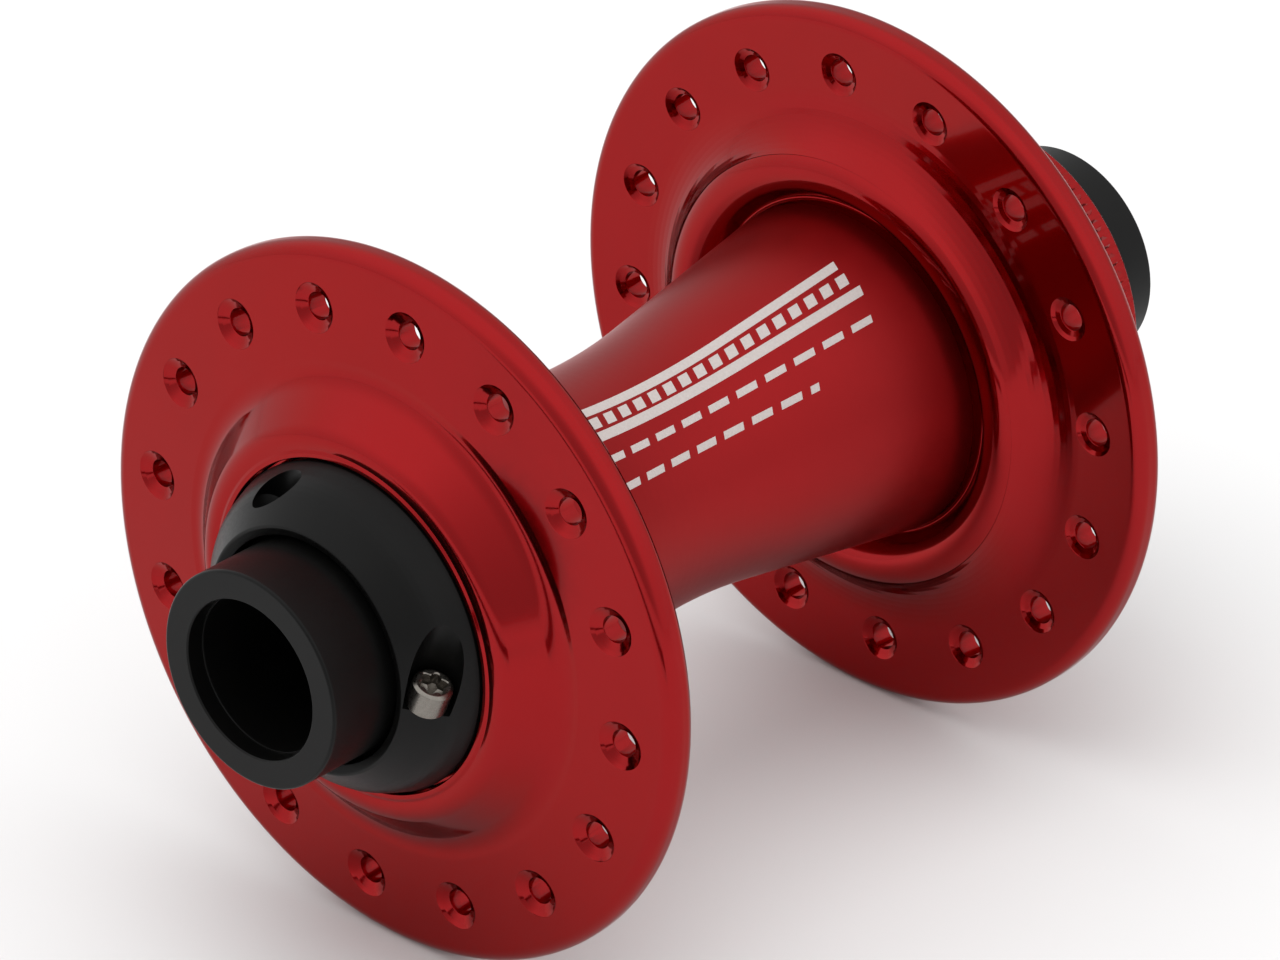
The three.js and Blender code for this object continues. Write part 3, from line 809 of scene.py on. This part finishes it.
def groove(land_r, side):
    """The points of a ball groove, from low y to high."""
    widest = math.acos(abs(land_r - PITCH_R) / GROOVE_R)
    steps = 12
    turns = [widest * (2 * i / steps - 1) for i in range(steps + 1)]
    return [(PITCH_R + side * GROOVE_R * math.cos(a), GROOVE_R * math.sin(a)) for a in turns]


def inner_race(name, place):
    bore, land = INNER_RACE_R
    corners = [(bore, -RACE_HALF, 0.2), (land, -RACE_HALF, 0.15), *groove(land, -1),
               (land, RACE_HALF, 0.15), (bore, RACE_HALF, 0.2)]
    return lathe(name, section(corners), STEEL, place=place)


def outer_race(name, place):
    land, outer = OUTER_RACE_R
    recess = RACE_HALF - SEAL_SEAT_DEPTH
    corners = [(SEAL_SEAT_R, -RACE_HALF, 0.08), (outer, -RACE_HALF, 0.2), (outer, RACE_HALF, 0.2),
               (SEAL_SEAT_R, RACE_HALF, 0.08), (SEAL_SEAT_R, recess), (land, recess, 0.08),
               *reversed(groove(land, 1)), (land, -recess, 0.08), (SEAL_SEAT_R, -recess)]
    return lathe(name, section(corners), STEEL, place=place)


def outer_seal(name, place):
    """A rubber seal with a raised outer bead, a dished middle and a thin lip."""
    edge = SEAL_SEAT_R - CLOSE
    corners = [(12.55, -2.62, 0.08), (12.75, -2.95, 0.08), (13.1, -2.8, 0.15), (14.05, -2.8, 0.15),
               (14.2, -3.0, 0.06), (edge, -3.0, 0.06), (edge, -2.4, 0.06), (12.8, -2.4, 0.1)]
    return lathe(name, section(corners), RUBBER, place=place)


def inner_shield(name, place):
    """A pressed steel shield with one rolled step."""
    edge = SEAL_SEAT_R - CLOSE
    corners = [(12.7, 2.55, 0.05), (13.3, 2.55, 0.1), (13.5, 2.4, 0.1), (edge, 2.4, 0.1), (edge, 2.65, 0.1),
               (13.6, 2.65, 0.1), (13.4, 2.8, 0.1), (12.7, 2.8, 0.05)]
    return lathe(name, section(corners), STEEL, place=place)


def snap_ring(name, place):
    """A round-edged spring ring, thinned towards its two ends."""
    outer = SEAL_SEAT_R - CLOSE
    inner, half_gap, taper = 14.2, 0.22, 0.3

    def shape(r, y, angle):
        to_end = min(angle, math.tau - angle) - half_gap
        thin = 0.55 + 0.45 * min(1, to_end / taper)
        return outer - (outer - r) * thin
    corners = [(inner, -3.4, 0.1), (outer, -3.4, 0.1), (outer, -3.05, 0.1), (inner, -3.05, 0.1)]
    return lathe(name, section(corners), STEEL, 192, shape, (half_gap, math.tau - half_gap), place)


def ball_angles():
    return [math.tau * i / BALLS_PER_BEARING for i in range(BALLS_PER_BEARING)]


def ball_cage(name, place):
    """A moulded crown cage with a round pocket for each ball."""
    inner, outer = CAGE_R
    corners = [(inner, -CAGE_HALF, 0.15), (outer, -CAGE_HALF, 0.15), (outer, CAGE_HALF, 0.15),
               (inner, CAGE_HALF, 0.15)]
    cage = lathe(name, section(corners), PLASTIC, 192)
    pocket_r = BALL_R + POCKET_CLEARANCE
    low, high = PITCH_R - 2.5, PITCH_R + 2.5
    drills = []
    for angle in ball_angles():
        out = Matrix.Rotation(-angle, 4, "Y") @ Matrix.Rotation(-math.pi / 2, 4, "Z")
        pocket = [(0, low), (pocket_r, low), (pocket_r, high), (0, high)]
        drills.append(lathe("pocket", pocket, segments=32, place=out))
    cut(cage, drills)
    cage.data.transform(place)
    return cage


def ball(name, angle, place):
    build = bmesh.new()
    bmesh.ops.create_icosphere(build, subdivisions=4, radius=BALL_R * MM)
    centre = Vector((PITCH_R * math.cos(angle), 0, PITCH_R * math.sin(angle))) * MM
    build.transform(place @ Matrix.Translation(centre))
    mesh = bpy.data.meshes.new(name)
    build.to_mesh(mesh)
    build.free()
    shade(mesh)
    return new_object(name, mesh, STEEL)


def bearing(side):
    y, facing = BEARINGS[side]
    turn = Matrix.Rotation(0 if facing == 1 else math.pi, 4, "X")
    place = Matrix.Translation((0, y * MM, 0)) @ turn
    parts = [
        (inner_race, "inner_race", "axle_set", "bearing_steel"),
        (outer_race, "outer_race", "hub", "bearing_steel"),
        (outer_seal, "outer_seal", "hub", "rubber"),
        (snap_ring, "snap_ring", "hub", "bearing_steel"),
        (inner_shield, "inner_shield", "hub", "bearing_steel"),
        (ball_cage, "ball_cage", f"{side}_balls", "cage_plastic"),
    ]
    for make, part, body, slot in parts:
        finished(make(f"{side}_{part}_fine", place), body, slot, f"{side}_{part}")
    for i, angle in enumerate(ball_angles(), 1):
        made = ball(f"{side}_ball_{i}_fine", angle, place)
        finished(made, f"{side}_balls", "bearing_steel", f"{side}_ball_{i}")


# ---- studio ----

CAMERA_AZIMUTH = math.radians(42.883)
CAMERA_ELEVATION = math.radians(29.298)
CAMERA_DISTANCE = 1.1662
CAMERA_AIM = Vector((-0.0014, -0.0026, -0.0017))
CAMERA_LENS = 358.97

CARD_START = -25                    # azimuths of the dark card's ends, in degrees
CARD_END = 40
CARD_DISTANCE = 0.19
CARD_HEIGHT = 0.014
CARD_STEPS = 12


def towards(azimuth, elevation):
    """The direction from the object to something seen at that azimuth and elevation."""
    return Vector((math.sin(azimuth) * math.cos(elevation), -math.cos(azimuth) * math.cos(elevation),
                   math.sin(elevation)))


def camera():
    data = bpy.data.cameras.new("camera")
    data.lens = CAMERA_LENS
    data.sensor_width = 36
    data.clip_start = 0.05
    data.clip_end = 20
    made = bpy.data.objects.new("camera", data)
    back = towards(CAMERA_AZIMUTH, CAMERA_ELEVATION)
    made.location = CAMERA_AIM + back * CAMERA_DISTANCE
    made.rotation_euler = back.to_track_quat("Z", "Y").to_euler()
    bpy.context.scene.collection.objects.link(made)
    bpy.context.scene.camera = made


def softbox(name, azimuth, elevation, distance, width, height, power):
    data = bpy.data.lights.new(name, "AREA")
    data.shape = "RECTANGLE"
    data.size = width
    data.size_y = height
    data.energy = power
    made = bpy.data.objects.new(name, data)
    out = towards(math.radians(azimuth), math.radians(elevation))
    made.location = out * distance
    made.rotation_euler = out.to_track_quat("Z", "Y").to_euler()
    made.visible_camera = False
    made.visible_glossy = False
    bpy.context.scene.collection.objects.link(made)


class Sky:
    """The light from all round, as sums of smooth patches by direction."""

    def __init__(self):
        world = bpy.data.worlds.new("tent")
        bpy.context.scene.world = world
        world.use_nodes = True
        self.tree = world.node_tree
        self.direction = self.tree.nodes.new("ShaderNodeTexCoord").outputs["Generated"]

    def towards(self, azimuth, elevation):
        """The cosine of the angle between each direction and that one."""
        dot = self.tree.nodes.new("ShaderNodeVectorMath")
        dot.operation = "DOT_PRODUCT"
        dot.inputs[1].default_value = towards(math.radians(azimuth), math.radians(elevation))
        self.tree.links.new(self.direction, dot.inputs[0])
        return dot.outputs["Value"]

    def ramp(self, cosine, wide, narrow, low, high):
        """Goes smoothly from low to high as the angle falls from wide to narrow degrees."""
        ramp = self.tree.nodes.new("ShaderNodeMapRange")
        ramp.interpolation_type = "SMOOTHSTEP"
        self.tree.links.new(cosine, ramp.inputs["Value"])
        ends = (math.cos(math.radians(wide)), math.cos(math.radians(narrow)), low, high)
        for name, value in zip(("From Min", "From Max", "To Min", "To Max"), ends):
            ramp.inputs[name].default_value = value
        return ramp.outputs[0]

    def shine(self, *factors):
        """Lights the scene with the product of the factors."""
        total = factors[0]
        for factor in factors[1:]:
            product = self.tree.nodes.new("ShaderNodeMath")
            product.operation = "MULTIPLY"
            self.tree.links.new(total, product.inputs[0])
            self.tree.links.new(factor, product.inputs[1])
            total = product.outputs[0]
        background = self.tree.nodes["Background"]
        background.inputs["Color"].default_value = (1, 1, 1, 1)
        self.tree.links.new(total, background.inputs["Strength"])


def tent():
    """A white tent: brightest overhead, duller behind, and dim low down in front."""
    sky = Sky()
    overhead = sky.ramp(sky.towards(0, 90), 92, 42, 1.0, 1.25)
    front = sky.ramp(sky.towards(25, 5), 55, 5, 1.0, 0.6)
    back = sky.ramp(sky.towards(195, 20), 60, 10, 1.0, 0.78)
    sky.shine(overhead, front, back)


def dark_card():
    """A low black card in front, standing on the floor, that only reflections see."""
    build = bmesh.new()
    low = shell_low.z * MM
    turn = CARD_END - CARD_START
    angles = [math.radians(CARD_START + turn * i / CARD_STEPS) for i in range(CARD_STEPS + 1)]
    feet = [towards(a, 0) * CARD_DISTANCE for a in angles]
    bottom = [build.verts.new((p.x, p.y, low)) for p in feet]
    top = [build.verts.new((p.x, p.y, low + CARD_HEIGHT)) for p in feet]
    for i in range(CARD_STEPS):
        build.faces.new((bottom[i], bottom[i + 1], top[i + 1], top[i]))
    mesh = bpy.data.meshes.new("dark_card")
    build.to_mesh(mesh)
    build.free()
    finish = Finish("dark_card", Roughness=0.9)
    finish.set(Base_Color=(0.1, 0.1, 0.1, 1))
    card = new_object("dark_card", mesh, finish.material)
    for kind in ("camera", "diffuse", "shadow", "transmission"):
        setattr(card, f"visible_{kind}", False)


def floor():
    """A wide pale sheet that the two flanges stand on."""
    build = bmesh.new()
    bmesh.ops.create_grid(build, x_segments=8, y_segments=8, size=3)
    bmesh.ops.translate(build, verts=build.verts, vec=(0, 0, shell_low.z * MM))
    mesh = bpy.data.meshes.new("floor")
    build.to_mesh(mesh)
    build.free()
    finish = Finish("floor", Roughness=0.9)
    finish.set(Base_Color=finish.blend(finish.noise(0.004, 2.0), (0.76, 0.76, 0.76), (0.78, 0.78, 0.78)))
    new_object("floor", mesh, finish.material)


camera()
tent()
dark_card()
softbox("overhead", azimuth=0, elevation=80, distance=1.4, width=1.2, height=1.2, power=7)
floor()
bpy.context.scene.view_settings.view_transform = "Standard"

hub_shell()
axle()
adjusting_collar()
o_ring()
pinch_screw()
for side in BEARINGS:
    bearing(side)
